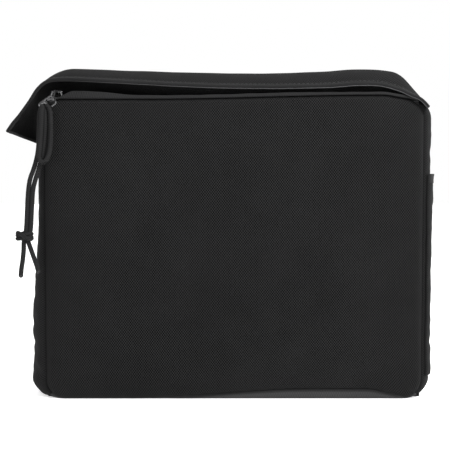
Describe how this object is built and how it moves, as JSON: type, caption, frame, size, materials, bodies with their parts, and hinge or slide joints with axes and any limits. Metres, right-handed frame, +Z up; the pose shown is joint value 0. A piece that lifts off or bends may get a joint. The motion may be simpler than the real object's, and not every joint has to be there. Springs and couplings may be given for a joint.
{
  "type": "film changing bag",
  "caption": "Padded zipped fabric pouch that a film changing bag is carried in, with a storm flap over the top zip, a flat side pocket and a knotted cord pull.",
  "frame": {"origin": "middle of the flat base that the pouch stands on", "axes": "+X along the zip towards the side pocket, +Y to the flat back panel, +Z up; the front panel and the hanging pull face -Y"},
  "size_m": [0.4109, 0.0967, 0.3147],
  "materials": {
    "shell_cloth": "black ballistic nylon, matt, with a plain basket weave",
    "lining_cloth": "black light-tight nylon lining, smooth",
    "foam_padding": "dark grey closed-cell foam",
    "base_board": "black plastic sheet",
    "binding_tape": "black grosgrain tape",
    "zip_tape": "black woven zip tape",
    "zip_coil": "black nylon coil",
    "zip_metal": "worn black nickel",
    "cord_braid": "black braided nylon cord"
  },
  "bodies": {
    "pouch": {"front_panel": "shell_cloth", "back_panel": "shell_cloth", "left_gusset": "shell_cloth", "right_gusset": "shell_cloth", "bottom_gusset": "shell_cloth", "zip_facing": "shell_cloth", "side_pocket": "shell_cloth", "front_pad": "foam_padding", "back_pad": "foam_padding", "front_lining": "lining_cloth", "back_lining": "lining_cloth", "bottom_lining": "lining_cloth", "left_lining": "lining_cloth", "right_lining": "lining_cloth", "base_board": "base_board", "front_seam_tape": "binding_tape", "back_seam_tape": "binding_tape", "zip_end_tab_left": "binding_tape", "zip_end_tab_right": "binding_tape", "side_pocket_hem": "binding_tape", "zip_tape_front": "zip_tape", "zip_coil_front": "zip_coil", "zip_stop_front_left": "zip_metal", "zip_stop_front_right": "zip_metal"},
    "lid": {"lid_panel": "shell_cloth", "lid_lining": "lining_cloth", "zip_tape_rear": "zip_tape", "zip_coil_rear": "zip_coil", "zip_stop_rear_left": "zip_metal", "zip_stop_rear_right": "zip_metal"},
    "storm_flap": {"flap_shell": "shell_cloth", "flap_lining": "lining_cloth", "flap_binding": "binding_tape"},
    "slider": {"slider_body": "zip_metal", "slider_bail": "zip_metal", "slider_link": "zip_metal"},
    "pull": {"pull_tab": "zip_metal", "cord_bight": "cord_braid", "cord_strand_left": "cord_braid", "cord_strand_right": "cord_braid", "cord_tail_left": "cord_braid", "cord_tail_right": "cord_braid", "pull_knot": "cord_braid"}
  },
  "joints": [
    {"name": "lid_fold", "type": "hinge", "parent": "pouch", "child": "lid", "pos_m": [0, 0.0385, 0.286], "axis": [-1, 0, 0], "range_deg": [0, 60]},
    {"name": "flap_fold", "type": "hinge", "parent": "lid", "child": "storm_flap", "pos_m": [0, 0.0385, 0.288], "axis": [-1, 0, 0], "range_deg": [0, 95]},
    {"name": "slider_travel", "type": "slide", "parent": "pouch", "child": "slider", "axis": [1, 0, 0], "range_m": [0, 0.312]},
    {"name": "pull_swing", "type": "hinge", "parent": "slider", "child": "pull", "pos_m": [-0.167, -0.044, 0.283], "axis": [-1, 0, 0], "range_deg": [0, 75]}
  ]
}
